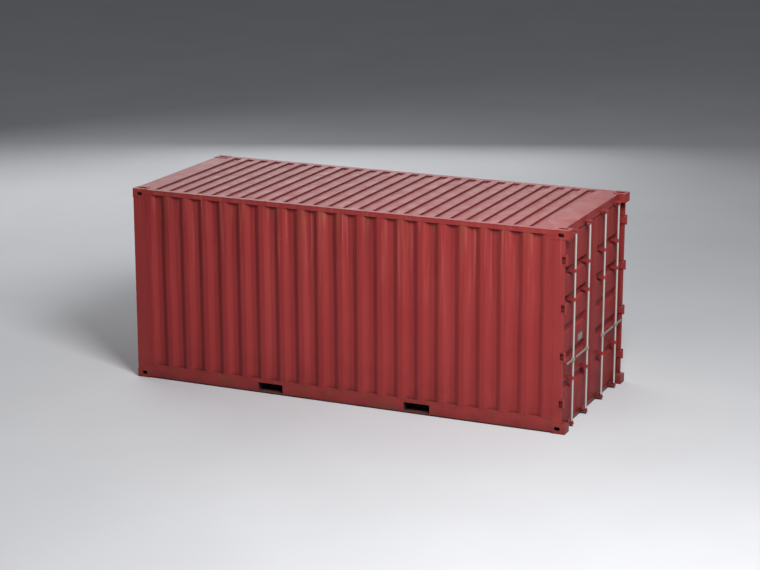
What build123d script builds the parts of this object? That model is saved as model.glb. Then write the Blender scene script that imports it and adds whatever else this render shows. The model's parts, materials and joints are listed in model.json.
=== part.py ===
"""Twenty-foot steel freight container with corrugated walls and two swinging doors.

All sizes are in millimetres. The doors are at +X, left is -Y, the ground is z = 0.
"""
import os
from math import cos, radians, sin

from build123d import *

# Outside size of the box, set by the corner castings
LENGTH = 6058.0
WIDTH = 2438.0
HEIGHT = 2591.0
END = LENGTH / 2
SIDE = WIDTH / 2
INSET = 4.0
WALL_X = END - INSET
WALL_Y = SIDE - INSET

# How far a cutting body runs past the face that it cuts
PAST = 1.0

# Corner castings
CAST_X = 178.0
CAST_Y = 162.0
CAST_Z = 118.0
CAST_WALL = 16.0
CAST_FACE = 28.0
SLOT_END = 102.5
SLOT_SIDE = 89.5
SLOT_LENGTH = 124.0
SLOT_WIDTH = 63.5
SIDE_HOLE_LENGTH = 79.0
SIDE_HOLE_WIDTH = 51.0
END_ANGLES = (-90, -54, -18, 18, 54, 90)
INNER_X = END - CAST_X
INNER_Y = SIDE - CAST_Y
CAST_UNDER = HEIGHT - CAST_Z

# Rails, floor and roof levels
RAIL_LOW = 18.0
RAIL_HIGH = 190.0
RAIL_DEEP = 48.0
RAIL_WALL = 4.5
TOP_RAIL = 60.0
TOP_RAIL_WALL = 4.0
ROOF_DROP = 6.0
ROOF_TOP = HEIGHT - ROOF_DROP
SHEET = 2.0
PLATE_LOW = ROOF_TOP - SHEET
TOP_RAIL_LOW = PLATE_LOW - TOP_RAIL
FLOOR_LOW = 150.0
FLOOR_TOP = 178.0
FLOOR_GAP = 3.0
FLOOR_HALF = WALL_Y - RAIL_DEEP - FLOOR_GAP

# Side wall corrugation, from the centre of its first recess to that of its last
WAVE_COUNT = 20
WAVE_FRONT = 186.5
WAVE_REAR = 233.5
WAVE_SLOPE = 68.0
WAVE_INNER = 70.0
WAVE_DEEP = 36.0

# Front wall corrugation
FRONT_COUNT = 8
FRONT_EDGE = 182.0
FRONT_SLOPE = 18.0
FRONT_INNER = 104.0
FRONT_DEEP = 45.6

# Stamped roof troughs
TROUGH_COUNT = 26
TROUGH_FRONT = 166.5
TROUGH_REAR = 310.5
TROUGH_WIDE = 112.0
TROUGH_EDGE = 80.0
TROUGH_DEEP = 20.0
TROUGH_SLOPE = 13.5

# Forklift pockets and floor joists
POCKET_X = 1038.0
POCKET_HALF = 177.5
POCKET_LOW = 28.5
POCKET_HIGH = 143.5
POCKET_WALL = 5.0
STRAP_LOW = RAIL_LOW + RAIL_WALL
STRAP_DEEP = 200.0
JOIST_COUNT = 5
JOIST_LOW = 28.0
JOIST_WIDE = 45.0
JOIST_WALL = 4.0
JOIST_INSIDE = 472.0
JOIST_OUTSIDE = 377.0
JOIST_END = 304.0

# Corner posts
POST_WALL = 6.0
POST_LIP = 45.0
POST_FACE = END - 51.0
POST_WIDE = 36.0
POST_HALF = WALL_Y - POST_WIDE
NOTCH_DEEP = 34.0
NOTCH_X = POST_FACE - NOTCH_DEEP
NOTCH_HALF = 62.0

# Door frame opening
STOP_BACK = END - 229.0
STOP_FACE = STOP_BACK + 62.0
STOP_WIDE = 29.0
STOP_HALF = POST_HALF - STOP_WIDE
SILL_FACE = END - 101.0
SILL_LOW = 14.0
SILL_LEDGE = 75.0
SILL_WALL = 6.0
HEADER_LOW = HEIGHT - 108.0
STOP_LOW = HEIGHT - 171.0

# Door leaves
SEAL_THICK = 15.0
SEAL_WIDE = 16.0
SEAL_GAP = 0.5
SEAL_INSET = 5.0
LEAF_BACK = STOP_FACE + SEAL_THICK
LEAF_THICK = 55.0
LEAF_FACE = LEAF_BACK + LEAF_THICK
LEAF_GAP = 6.0
LEAF_EDGE = POST_HALF - LEAF_GAP
LEAF_MEET = 9.0
LEAF_LOW = SILL_LEDGE + 9.0
LEAF_HIGH = HEADER_LOW - 17.0
CORNER_GAP = 8.0
CORNER_LOW = CAST_Z + CORNER_GAP
CORNER_HALF = INNER_Y - CORNER_GAP
STILE = 100.0
FRAME_WALL = 4.0
PANEL_FACE = LEAF_FACE - 1.0
PANEL_OUT = LEAF_EDGE - STILE
PANEL_IN = LEAF_MEET + STILE
PANEL_LOW = LEAF_LOW + STILE
PANEL_HIGH = LEAF_HIGH - STILE

# Pressed door grooves
GROOVE_COUNT = 5
GROOVE_HIGH = 128.0
GROOVE_DEEP = 36.0
GROOVE_SLOPE = 28.0
GROOVE_OUT = PANEL_OUT - 12.0
GROOVE_IN = PANEL_IN + 104.0
GROOVE_FIRST = LEAF_LOW + 471.0
GROOVE_LAST = LEAF_HIGH - 451.0

# Hinges
HINGE_COUNT = 4
HINGE_FIRST = LEAF_LOW + 301.0
HINGE_LAST = LEAF_HIGH - 249.0
PIN_X = END - 33.0
PIN_Y = WALL_Y - 12.0
PIN_R = 9.0
PIN_FIT = 0.3
KNUCKLE_R = 14.0
KNUCKLE_FLAT_COUNT = 12
KNUCKLE_HALF = 44.0
LUG_THICK = 14.0
LUG_GAP = 1.0
BLADE_THICK = 10.0
BLADE_HALF = 6.0
BLADE_PLAY = 8.0
BLADE_LAP = 93.0

# Lock rods and their guides
ROD_X = END - 30.0
ROD_OUT = LEAF_EDGE - 313.0
ROD_IN = LEAF_MEET + 306.0
ROD_R = 12.0
GUIDE_HIGH = 40.0
GUIDE_HALF = 20.0
GUIDE_CORNER = 9.0
GUIDE_FIT = 0.5
FOOT_HALF = 38.0
FOOT_THICK = 5.0

# Cams on the rods, and the keepers on sill and header that they hook behind
CAM_THICK = 18.0
CAM_LOW = 60.0
CAM_HIGH = HEIGHT - 107.0
CAM_HUB = 20.0
CAM_FLAT_COUNT = 8
HOOK_IN = 42.0
HOOK_OUT = 58.0
HOOK_ANGLES = (160, 190, 220, 238)
ARM_ANGLE = 228.0
ARM_WIDE = 16.0
STUB_AT = 30.0
STUB_HALF = 5.0
STUB_GAP = 4.0
KEEPER_HALF = 24.0
KEEPER_THICK = 26.0
KEEPER_LOW = 30.0
KEEPER_HIGH = HEIGHT - 83.0

# Handles, their hubs and their catches
HANDLE_DROP = 40.0
HANDLE_HIGH = 25.0
HANDLE_THICK = 8.0
HANDLE_PIVOT = 40.0
HANDLE_PLAY = 1.0
OUTER_TIP = LEAF_EDGE - 77.0
INNER_TIP = ROD_OUT - 110.0
HUB_HALF = 18.0
HUB_HIGH = 44.0
EAR_THICK = 6.0
EAR_END = 14.0
EAR_HALF = 16.0
BOLT_R = 6.0
BOLT_FLAT_COUNT = 6
BOLT_END = 4.0
CATCH_IN = 8.0
CATCH_WIDE = 36.0
CATCH_HIGH = 66.0
CATCH_PLATE = 6.0
CATCH_SHELF = 8.0
CATCH_GAP = 1.5


def spread(first, last, count):
    """Evenly spaced stations from first to last."""
    step = (last - first) / (count - 1)
    return [first + i * step for i in range(count)]


GROOVE_LEVELS = spread(GROOVE_FIRST, GROOVE_LAST, GROOVE_COUNT)
HINGE_LEVELS = spread(HINGE_FIRST, HINGE_LAST, HINGE_COUNT)
LAND_GUIDE = GROOVE_LEVELS[0] + GROOVE_HIGH / 2 + GUIDE_HIGH / 2
GROOVE_GUIDES = (GROOVE_LEVELS[-2], GROOVE_LEVELS[-1])
HANDLE_Z = GROOVE_LEVELS[1] - HANDLE_DROP


def block(x0, x1, y0, y1, z0, z1):
    """A box between two corners."""
    size = (abs(x1 - x0), abs(y1 - y0), abs(z1 - z0))
    return Pos((x0 + x1) / 2, (y0 + y1) / 2, (z0 + z1) / 2) * Box(*size)


def upright(face, z0, z1):
    """Extrude a plan outline between two heights."""
    return Pos(0, 0, z0) * extrude(face, amount=z1 - z0)


def along_x(face, x0, x1):
    """Extrude a cross-section, drawn as (y, z), between two stations."""
    return Pos(x0, 0, 0) * (Plane.YZ * extrude(face, amount=x1 - x0))


def along_y(face, y0, y1):
    """Extrude a cross-section, drawn as (x, z), between two stations."""
    return Pos(0, y1, 0) * (Plane.XZ * extrude(face, amount=y1 - y0))


def outline(points):
    """A flat face from its corner points."""
    return make_face(Polyline(*points, close=True))


def folded(points, thick):
    """Section of a folded strip, its material on the left of the path."""
    path = [Vector(x, y) for x, y in points]
    ways = [(b - a).normalized() for a, b in zip(path, path[1:])]
    lefts = [Vector(-w.Y, w.X) for w in ways]
    other = [path[0] + lefts[0] * thick]
    for before, after, corner in zip(lefts, lefts[1:], path[1:]):
        mid = (before + after).normalized()
        other.append(corner + mid * (thick / mid.dot(before)))
    other.append(path[-1] + lefts[-1] * thick)
    return outline(path + other[::-1])


def nosed(x0, x1, half, corner):
    """Plan of a bracket from a wall at x0 to a blunt nose at x1."""
    return outline([(x0, -half), (x1 - corner, -half), (x1, corner - half), (x1, half - corner),
                    (x1 - corner, half), (x0, half)])


def faceted_slot(long, wide):
    """A slot whose round ends are drawn with a few flats."""
    shift = (long - wide) / 2
    right = [(shift + wide / 2 * cos(radians(a)), wide / 2 * sin(radians(a))) for a in END_ANGLES]
    left = [(-x, -y) for x, y in right]
    return outline(right + left)


def mirrored(shape):
    """The same piece on the other side of the container."""
    return Compound(children=[solid.mirror(Plane.XZ) for solid in shape.solids()])


def wave(start, end, mids, inner, slope, outer_level, inner_level):
    """Corner points of a corrugated surface that runs from start to end."""
    points = [(start, outer_level)]
    for mid in mids:
        points += [
            (mid - inner / 2 - slope, outer_level),
            (mid - inner / 2, inner_level),
            (mid + inner / 2, inner_level),
            (mid + inner / 2 + slope, outer_level),
        ]
    points.append((end, outer_level))
    return points


def corner_casting(sx, sy, top):
    """Hollow corner with an aperture in its side and its top or bottom face, and in its end at the front."""
    body = block(INNER_X, END, INNER_Y, SIDE, 0, CAST_Z)
    hollow = block(INNER_X + CAST_WALL, END - CAST_WALL, INNER_Y + CAST_WALL, SIDE - CAST_WALL,
                   CAST_FACE, CAST_Z - CAST_WALL)
    mid = (CAST_FACE + CAST_Z - CAST_WALL) / 2
    slot = Pos(END - SLOT_END, SIDE - SLOT_SIDE) * SlotOverall(SLOT_LENGTH, SLOT_WIDTH)
    hole = faceted_slot(SIDE_HOLE_LENGTH, SIDE_HOLE_WIDTH)
    face_cut = upright(slot, -PAST, CAST_FACE + PAST)
    side_cut = along_y(Pos(END - SLOT_END, mid) * hole, SIDE - CAST_WALL - PAST, SIDE + PAST)
    end_cut = along_x(Pos(SIDE - SLOT_SIDE, mid) * hole, END - CAST_WALL - PAST, END + PAST)
    cuts = [hollow, face_cut, side_cut]
    if sx < 0:
        cuts.append(end_cut)
    body = body - cuts
    if top:
        body = Pos(0, 0, HEIGHT) * body.mirror(Plane.XY)
    if sx < 0:
        body = body.mirror(Plane.YZ)
    if sy < 0:
        body = body.mirror(Plane.XZ)
    return body


def castings(top):
    """The four corner castings at one level."""
    return Compound(children=[corner_casting(sx, sy, top) for sx in (-1, 1) for sy in (-1, 1)])


def tube(x0, x1, y0, y1, z0, z1, wall, axis):
    """Rectangular tube open at both ends along one axis."""
    outer = block(x0, x1, y0, y1, z0, z1)
    grow = {"X": (PAST, -wall, -wall), "Y": (-wall, PAST, -wall), "Z": (-wall, -wall, PAST)}[axis]
    inner = block(x0 - grow[0], x1 + grow[0], y0 - grow[1], y1 + grow[1], z0 - grow[2], z1 + grow[2])
    return outer - inner


def bottom_side_rail():
    """Left lower rail: an inward channel with two forklift windows."""
    inside = -WALL_Y + RAIL_DEEP
    section = folded([(inside, RAIL_HIGH), (-WALL_Y, RAIL_HIGH), (-WALL_Y, RAIL_LOW),
                      (inside, RAIL_LOW)], RAIL_WALL)
    rail = along_x(section, -INNER_X, INNER_X)
    windows = [
        block(x - POCKET_HALF, x + POCKET_HALF, -SIDE, inside, POCKET_LOW, POCKET_HIGH)
        for x in (-POCKET_X, POCKET_X)
    ]
    return rail - windows


def top_side_rail():
    """Left upper rail."""
    return tube(-INNER_X, INNER_X, -WALL_Y, -WALL_Y + TOP_RAIL, TOP_RAIL_LOW, PLATE_LOW,
                TOP_RAIL_WALL, "X")


def end_rail(z0, z1, wall):
    """Tube across the closed end."""
    return tube(-WALL_X, -WALL_X + TOP_RAIL, -INNER_Y, INNER_Y, z0, z1, wall, "Y")


def forklift_pocket(x):
    """Tunnel under the floor with a strap below each mouth."""
    reach = WALL_Y - RAIL_WALL
    outer = block(x - POCKET_HALF - POCKET_WALL, x + POCKET_HALF + POCKET_WALL, -reach, reach,
                  STRAP_LOW, POCKET_HIGH + POCKET_WALL)
    inner = block(x - POCKET_HALF, x + POCKET_HALF, -reach, reach, STRAP_LOW, POCKET_HIGH)
    straps = [
        block(x - POCKET_HALF, x + POCKET_HALF, s * (reach - STRAP_DEEP), s * reach, STRAP_LOW, POCKET_LOW)
        for s in (-1, 1)
    ]
    return outer - inner + straps


def joists():
    """Floor joists between the lower rails, in three groups beside the forklift pockets."""
    reach = WALL_Y - RAIL_WALL
    half = JOIST_WIDE / 2
    section = folded([(half, FLOOR_LOW), (-half, FLOOR_LOW), (-half, JOIST_LOW), (half, JOIST_LOW)],
                     JOIST_WALL)
    inside = POCKET_X - JOIST_INSIDE
    outer = spread(POCKET_X + JOIST_OUTSIDE, INNER_X - JOIST_END, JOIST_COUNT)
    stations = spread(-inside, inside, JOIST_COUNT) + outer + [-x for x in outer]
    return Compound(children=[Pos(x, 0, 0) * along_y(section, -reach, reach) for x in stations])


def side_panel():
    """Left corrugated wall sheet."""
    mids = spread(-INNER_X + WAVE_FRONT, INNER_X - WAVE_REAR, WAVE_COUNT)
    line = wave(-INNER_X, INNER_X, mids, WAVE_INNER, WAVE_SLOPE, -WALL_Y, -WALL_Y + WAVE_DEEP)
    return upright(folded(line, SHEET), RAIL_HIGH, TOP_RAIL_LOW)


def front_panel():
    """Corrugated sheet across the closed end."""
    mids = spread(-INNER_Y + FRONT_EDGE, INNER_Y - FRONT_EDGE, FRONT_COUNT)
    line = wave(-INNER_Y, INNER_Y, mids, FRONT_INNER, FRONT_SLOPE, 0, FRONT_DEEP)
    face = folded([(-WALL_X + deep, -y) for y, deep in line], SHEET)
    return upright(face, RAIL_HIGH, TOP_RAIL_LOW)


def pressing(long, wide, deep, slope):
    """Pan that hangs below its mouth, with four sloped sides."""
    across = outline([(-wide / 2, 0), (wide / 2, 0), (wide / 2 - slope, -deep), (slope - wide / 2, -deep)])
    ends = outline([(-long / 2, 0), (long / 2, 0), (long / 2 - slope, -deep), (slope - long / 2, -deep)])
    return along_y(across, -long / 2, long / 2) & along_x(ends, -wide / 2, wide / 2)


def pressed(sheet, places, long, wide, deep, slope):
    """A sheet with a hollow pan pressed into it at each place."""
    dip = pressing(long, wide, deep, slope)
    pan = pressing(long + 2 * SHEET, wide + 2 * SHEET, deep + SHEET, slope)
    return sheet + [at * pan for at in places] - [at * dip for at in places]


def roof_panel():
    """Roof sheet with stamped troughs that are closed at both ends."""
    sheet = block(-INNER_X, INNER_X, -WALL_Y, WALL_Y, PLATE_LOW, ROOF_TOP)
    stations = spread(-INNER_X + TROUGH_FRONT, INNER_X - TROUGH_REAR, TROUGH_COUNT)
    places = [Pos(x, 0, ROOF_TOP) for x in stations]
    return pressed(sheet, places, 2 * (WALL_Y - TROUGH_EDGE), TROUGH_WIDE, TROUGH_DEEP, TROUGH_SLOPE)


def front_post():
    """Left front corner post, folded from plate with inward lips."""
    path = [(-WALL_X + POST_LIP, -INNER_Y), (-WALL_X, -INNER_Y), (-WALL_X, -WALL_Y),
            (-INNER_X, -WALL_Y), (-INNER_X, -WALL_Y + POST_LIP)]
    return upright(folded(path, POST_WALL), CAST_Z, CAST_UNDER)


def rear_post():
    """Left door post: a hollow section with a door stop flange and hinge notches."""
    flange = -WALL_Y + RAIL_DEEP
    inside = -POST_HALF - POST_WALL
    outer = outline([(INNER_X, -WALL_Y), (POST_FACE, -WALL_Y), (POST_FACE, -POST_HALF),
                     (STOP_FACE, -POST_HALF), (STOP_FACE, -STOP_HALF), (STOP_BACK, -STOP_HALF),
                     (STOP_BACK, flange), (INNER_X, flange)])
    inner = outline([(INNER_X + POST_WALL, -WALL_Y + POST_WALL),
                     (POST_FACE - POST_WALL, -WALL_Y + POST_WALL),
                     (POST_FACE - POST_WALL, inside), (INNER_X + POST_WALL, inside)])
    post = upright(outer - inner, CAST_Z, CAST_UNDER)
    notches = [
        block(NOTCH_X, END, -SIDE, inside, z - NOTCH_HALF, z + NOTCH_HALF)
        for z in HINGE_LEVELS
    ]
    return post - notches


def door_sill():
    """Lower door rail: a ledge below the doors and a stop behind them."""
    ledge = block(STOP_BACK, SILL_FACE, -INNER_Y, INNER_Y, SILL_LOW, SILL_LEDGE)
    stop = block(STOP_BACK, STOP_FACE, -INNER_Y, INNER_Y, SILL_LEDGE, CAST_Z)
    wide = block(STOP_BACK, STOP_FACE, -STOP_HALF, STOP_HALF, CAST_Z, FLOOR_TOP)
    under = block(STOP_BACK - PAST, SILL_FACE - SILL_WALL, -SIDE, SIDE,
                  SILL_LOW - PAST, SILL_LEDGE - SILL_WALL)
    behind = block(STOP_BACK - PAST, STOP_FACE - SILL_WALL, -SIDE, SIDE,
                   SILL_LEDGE - SILL_WALL - PAST, FLOOR_TOP - SILL_WALL)
    return ledge + stop + wide - [under, behind]


def door_header():
    """Upper door rail with a stop lip behind the doors."""
    beam = block(STOP_BACK, SILL_FACE, -INNER_Y, INNER_Y, HEADER_LOW, PLATE_LOW)
    link = block(STOP_BACK, STOP_FACE, -INNER_Y, INNER_Y, CAST_UNDER, HEADER_LOW)
    lip = block(STOP_BACK, STOP_FACE, -STOP_HALF, STOP_HALF, STOP_LOW, CAST_UNDER)
    bore = block(STOP_BACK + SILL_WALL, SILL_FACE - SILL_WALL, -SIDE, SIDE,
                 HEADER_LOW + SILL_WALL, PLATE_LOW - SILL_WALL)
    return beam + link + lip - bore


def hinge_lugs():
    """Left post hinges: two plates and a pin in each notch."""
    inside = KNUCKLE_HALF + LUG_GAP
    plan = outline([(NOTCH_X, -POST_HALF - POST_WALL), (NOTCH_X, -WALL_Y),
                    (PIN_X + KNUCKLE_R / 2, -WALL_Y), (PIN_X + KNUCKLE_R, -WALL_Y + KNUCKLE_R / 2),
                    (PIN_X + KNUCKLE_R, -PIN_Y + KNUCKLE_R / 2), (PIN_X, -POST_HALF - POST_WALL)])
    axle = Pos(PIN_X, -PIN_Y) * Circle(PIN_R)
    made = []
    for z in HINGE_LEVELS:
        pin = upright(axle, z - inside - LUG_THICK, z + inside + LUG_THICK)
        plates = [upright(plan, low, low + LUG_THICK) for low in (z + inside, z - inside - LUG_THICK)]
        made.append(pin + plates)
    return Compound(children=made)


def door_hinges():
    """Left door hinge blades with their knuckles."""
    outer = -POST_HALF + BLADE_PLAY
    inner = outer + 2 * BLADE_HALF
    lap = -LEAF_EDGE + BLADE_LAP
    blade = outline([(PIN_X - BLADE_HALF, -PIN_Y), (PIN_X - BLADE_HALF, outer), (LEAF_FACE, outer),
                     (LEAF_FACE, lap), (LEAF_FACE + BLADE_THICK, lap), (LEAF_FACE + BLADE_THICK, inner),
                     (PIN_X + BLADE_HALF, inner), (PIN_X + BLADE_HALF, -PIN_Y)])
    ring = Pos(PIN_X, -PIN_Y) * RegularPolygon(KNUCKLE_R, KNUCKLE_FLAT_COUNT)
    bore = Pos(PIN_X, -PIN_Y) * Circle(PIN_R + PIN_FIT)
    face = blade + ring - bore
    return Compound(children=[upright(face, z - KNUCKLE_HALF, z + KNUCKLE_HALF) for z in HINGE_LEVELS])


def door_frame():
    """Left leaf frame: two tube stiles and two channel rails, cut clear of the casting."""
    edge = tube(LEAF_BACK, LEAF_FACE, -LEAF_EDGE, -PANEL_OUT, LEAF_LOW, LEAF_HIGH, FRAME_WALL, "Z")
    meet = tube(LEAF_BACK, LEAF_FACE, -PANEL_IN, -LEAF_MEET, LEAF_LOW, LEAF_HIGH, FRAME_WALL, "Z")
    back = LEAF_BACK + FRAME_WALL
    front = LEAF_FACE - FRAME_WALL
    low = block(LEAF_BACK, LEAF_FACE, -PANEL_OUT, -PANEL_IN, LEAF_LOW, PANEL_LOW)
    low -= block(back, front, -PANEL_OUT, -PANEL_IN, LEAF_LOW, PANEL_LOW - FRAME_WALL)
    high = block(LEAF_BACK, LEAF_FACE, -PANEL_OUT, -PANEL_IN, PANEL_HIGH, LEAF_HIGH)
    high -= block(back, front, -PANEL_OUT, -PANEL_IN, PANEL_HIGH + FRAME_WALL, LEAF_HIGH)
    corner = block(LEAF_BACK - PAST, LEAF_FACE + PAST, -SIDE, -CORNER_HALF, 0, CORNER_LOW)
    return edge + meet + low + high - corner


def door_panel():
    """Left leaf sheet with pressed grooves that are closed at both ends."""
    sheet = block(PANEL_FACE - SHEET, PANEL_FACE, -PANEL_OUT, -PANEL_IN, PANEL_LOW, PANEL_HIGH)
    mid = -(GROOVE_OUT + GROOVE_IN) / 2
    places = [Pos(PANEL_FACE, mid, z) * Rot(0, 90, 0) for z in GROOVE_LEVELS]
    return pressed(sheet, places, GROOVE_OUT - GROOVE_IN, GROOVE_HIGH, GROOVE_DEEP, GROOVE_SLOPE)


def door_gasket():
    """Rubber ring behind the left leaf."""
    x0 = STOP_FACE + SEAL_GAP
    outer = -LEAF_EDGE + SEAL_INSET
    inner = -LEAF_MEET - SEAL_INSET
    low = CORNER_LOW + SEAL_INSET
    high = LEAF_HIGH - SEAL_INSET
    ring = block(x0, LEAF_BACK, outer, inner, low, high)
    return ring - block(x0 - PAST, LEAF_BACK + PAST, outer + SEAL_WIDE, inner - SEAL_WIDE,
                        low + SEAL_WIDE, high - SEAL_WIDE)


def rod_guide(y, z, base):
    """One strap around a rod, with a foot on the door sheet."""
    foot = base + FOOT_THICK
    channel = ROD_R + GUIDE_FIT
    plan = nosed(base, ROD_X + GUIDE_HALF, GUIDE_HALF, GUIDE_CORNER)
    plan += Pos((base + foot) / 2, 0) * Rectangle(FOOT_THICK, 2 * FOOT_HALF)
    plan -= Pos((foot + ROD_X + channel) / 2, 0) * Rectangle(ROD_X + channel - foot, 2 * channel)
    return Pos(0, -y, 0) * upright(plan, z - GUIDE_HIGH / 2, z + GUIDE_HIGH / 2)


def rod_guides():
    """Brackets that hold the two left rods, one on a land and two in grooves."""
    made = []
    for y in (ROD_OUT, ROD_IN):
        made.append(rod_guide(y, LAND_GUIDE, PANEL_FACE))
        made += [rod_guide(y, z, PANEL_FACE - GROOVE_DEEP) for z in GROOVE_GUIDES]
    return Compound(children=made)


def handle_catches():
    """Open shelves under the tips of the left handles."""
    top = HANDLE_Z - HANDLE_HIGH / 2 - CATCH_GAP
    made = []
    for tip, base in ((OUTER_TIP, LEAF_FACE), (INNER_TIP, PANEL_FACE)):
        y0 = -tip + CATCH_IN
        y1 = y0 + CATCH_WIDE
        plate = block(base, base + CATCH_PLATE, y0, y1, top - CATCH_HIGH, top)
        shelf = block(base, ROD_X + HANDLE_THICK, y0, y1, top - CATCH_SHELF, top)
        made.append(plate + shelf)
    return Compound(children=made)


def cam():
    """Hook around the rod, its arm turned away from the keeper stub."""
    outer = [(HOOK_OUT * cos(radians(a)), HOOK_OUT * sin(radians(a))) for a in HOOK_ANGLES]
    inner = [(HOOK_IN * cos(radians(a)), HOOK_IN * sin(radians(a))) for a in HOOK_ANGLES]
    long = (HOOK_IN + HOOK_OUT) / 2
    arm = Rot(0, 0, ARM_ANGLE) * (Pos(long / 2, 0) * Rectangle(long, ARM_WIDE))
    return outline(outer + inner[::-1]) + arm + RegularPolygon(CAM_HUB, CAM_FLAT_COUNT)


def lock_rod(y):
    """Left lock rod with two cams and the handle hub."""
    rod = upright(Circle(ROD_R), CAM_LOW, CAM_HIGH + CAM_THICK)
    hook = cam()
    cams = [upright(hook, z, z + CAM_THICK) for z in (CAM_LOW, CAM_HIGH)]
    low = HANDLE_Z - HUB_HIGH / 2
    hub = block(-HUB_HALF, HUB_HALF, -HUB_HALF, HUB_HALF, low, low + HUB_HIGH)
    gap = HANDLE_THICK / 2 + HANDLE_PLAY
    outside = gap + EAR_THICK
    ears = [
        block(x, x + EAR_THICK, -HANDLE_PIVOT - EAR_END, 0, HANDLE_Z - EAR_HALF, HANDLE_Z + EAR_HALF)
        for x in (-outside, gap)
    ]
    bolt = along_x(Pos(-HANDLE_PIVOT, HANDLE_Z) * RegularPolygon(BOLT_R, BOLT_FLAT_COUNT),
                   -outside - BOLT_END, outside + BOLT_END)
    return Pos(ROD_X, -y, 0) * (rod + cams + hub + ears + bolt)


def handle(y, tip):
    """Left handle bar on its bolt."""
    pivot = -y - HANDLE_PIVOT
    half = HANDLE_HIGH / 2
    end = pivot + half
    bar = outline([(-tip, HANDLE_Z - half), (pivot, HANDLE_Z - half), (end, HANDLE_Z - half / 2),
                   (end, HANDLE_Z + half / 2), (pivot, HANDLE_Z + half), (-tip, HANDLE_Z + half)])
    face = bar - Pos(pivot, HANDLE_Z) * Circle(BOLT_R + PIN_FIT)
    return along_x(face, ROD_X - HANDLE_THICK / 2, ROD_X + HANDLE_THICK / 2)


def cam_keepers():
    """Plates on the sill and the header with a stub in front of each hook."""
    plan = nosed(SILL_FACE, ROD_X + KEEPER_HALF, KEEPER_HALF, KEEPER_HALF / 2)
    stub_x = ROD_X - STUB_AT
    low = upright(plan, KEEPER_LOW, KEEPER_LOW + KEEPER_THICK)
    low += block(stub_x - STUB_HALF, stub_x + STUB_HALF, -STUB_HALF, STUB_HALF,
                 KEEPER_LOW, LEAF_LOW - STUB_GAP)
    high = upright(plan, KEEPER_HIGH, KEEPER_HIGH + KEEPER_THICK)
    high += block(stub_x - STUB_HALF, stub_x + STUB_HALF, -STUB_HALF, STUB_HALF,
                  CAM_HIGH, KEEPER_HIGH + KEEPER_THICK)
    places = [Pos(0, y, 0) for y in (-ROD_OUT, -ROD_IN, ROD_IN, ROD_OUT)]
    return Compound(children=[at * part for at in places for part in (low, high)])


def build():
    """Every node of the container by name."""
    nodes = {
        "floor": block(-WALL_X + TOP_RAIL, STOP_BACK, -FLOOR_HALF, FLOOR_HALF, FLOOR_LOW, FLOOR_TOP),
        "floor_joists": joists(),
        "forklift_pocket_front": forklift_pocket(-POCKET_X),
        "forklift_pocket_rear": forklift_pocket(POCKET_X),
        "front_bottom_rail": end_rail(RAIL_LOW, RAIL_HIGH, RAIL_WALL),
        "front_top_rail": end_rail(TOP_RAIL_LOW, PLATE_LOW, TOP_RAIL_WALL),
        "front_panel": front_panel(),
        "front_roof_plate": block(-WALL_X, -INNER_X, -INNER_Y, INNER_Y, PLATE_LOW, ROOF_TOP),
        "roof_panel": roof_panel(),
        "rear_roof_plate": block(INNER_X, SILL_FACE, -INNER_Y, INNER_Y, PLATE_LOW, ROOF_TOP),
        "door_sill": door_sill(),
        "door_header": door_header(),
        "top_corner_castings": castings(True),
        "bottom_corner_castings": castings(False),
        "cam_keepers": cam_keepers(),
    }
    pairs = {
        "bottom_side_rail": bottom_side_rail(),
        "top_side_rail": top_side_rail(),
        "side_panel": side_panel(),
        "front_post": front_post(),
        "rear_post": rear_post(),
        "hinge_lugs": hinge_lugs(),
        "door_frame": door_frame(),
        "door_panel": door_panel(),
        "door_gasket": door_gasket(),
        "door_hinges": door_hinges(),
        "rod_guides": rod_guides(),
        "handle_catches": handle_catches(),
        "outer_lock_rod": lock_rod(ROD_OUT),
        "inner_lock_rod": lock_rod(ROD_IN),
        "outer_handle": handle(ROD_OUT, OUTER_TIP),
        "inner_handle": handle(ROD_IN, INNER_TIP),
    }
    for name, shape in pairs.items():
        nodes[name + "_left"] = shape
        nodes[name + "_right"] = mirrored(shape)
    return nodes


os.makedirs("parts", exist_ok=True)
for node, solid in build().items():
    export_step(solid, f"parts/{node}.step")
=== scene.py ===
"""Looks of a weathered red freight container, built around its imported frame. Units are metres."""
import json
import math
import random

import bmesh
import bpy
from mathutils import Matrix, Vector


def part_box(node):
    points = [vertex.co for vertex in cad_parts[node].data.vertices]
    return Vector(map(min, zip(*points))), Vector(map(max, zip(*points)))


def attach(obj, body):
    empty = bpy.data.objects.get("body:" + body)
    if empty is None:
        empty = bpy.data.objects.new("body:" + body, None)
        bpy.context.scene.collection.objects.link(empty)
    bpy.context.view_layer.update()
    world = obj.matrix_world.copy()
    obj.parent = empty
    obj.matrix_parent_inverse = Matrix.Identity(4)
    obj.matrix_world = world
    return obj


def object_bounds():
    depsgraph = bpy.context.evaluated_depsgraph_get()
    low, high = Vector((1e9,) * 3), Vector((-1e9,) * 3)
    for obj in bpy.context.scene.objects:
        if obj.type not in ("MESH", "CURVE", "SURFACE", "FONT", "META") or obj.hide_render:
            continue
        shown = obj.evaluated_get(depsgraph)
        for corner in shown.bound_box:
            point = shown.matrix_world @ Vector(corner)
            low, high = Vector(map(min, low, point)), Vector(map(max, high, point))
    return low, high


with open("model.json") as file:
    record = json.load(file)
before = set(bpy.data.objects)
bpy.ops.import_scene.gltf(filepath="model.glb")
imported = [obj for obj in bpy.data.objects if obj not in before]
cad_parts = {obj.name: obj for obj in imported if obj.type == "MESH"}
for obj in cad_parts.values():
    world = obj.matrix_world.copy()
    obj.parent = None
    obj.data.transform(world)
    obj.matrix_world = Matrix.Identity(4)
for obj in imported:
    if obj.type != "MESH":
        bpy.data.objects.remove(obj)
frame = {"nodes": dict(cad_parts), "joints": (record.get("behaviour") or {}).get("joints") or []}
cad_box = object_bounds()
nodes = frame["nodes"]
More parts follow.
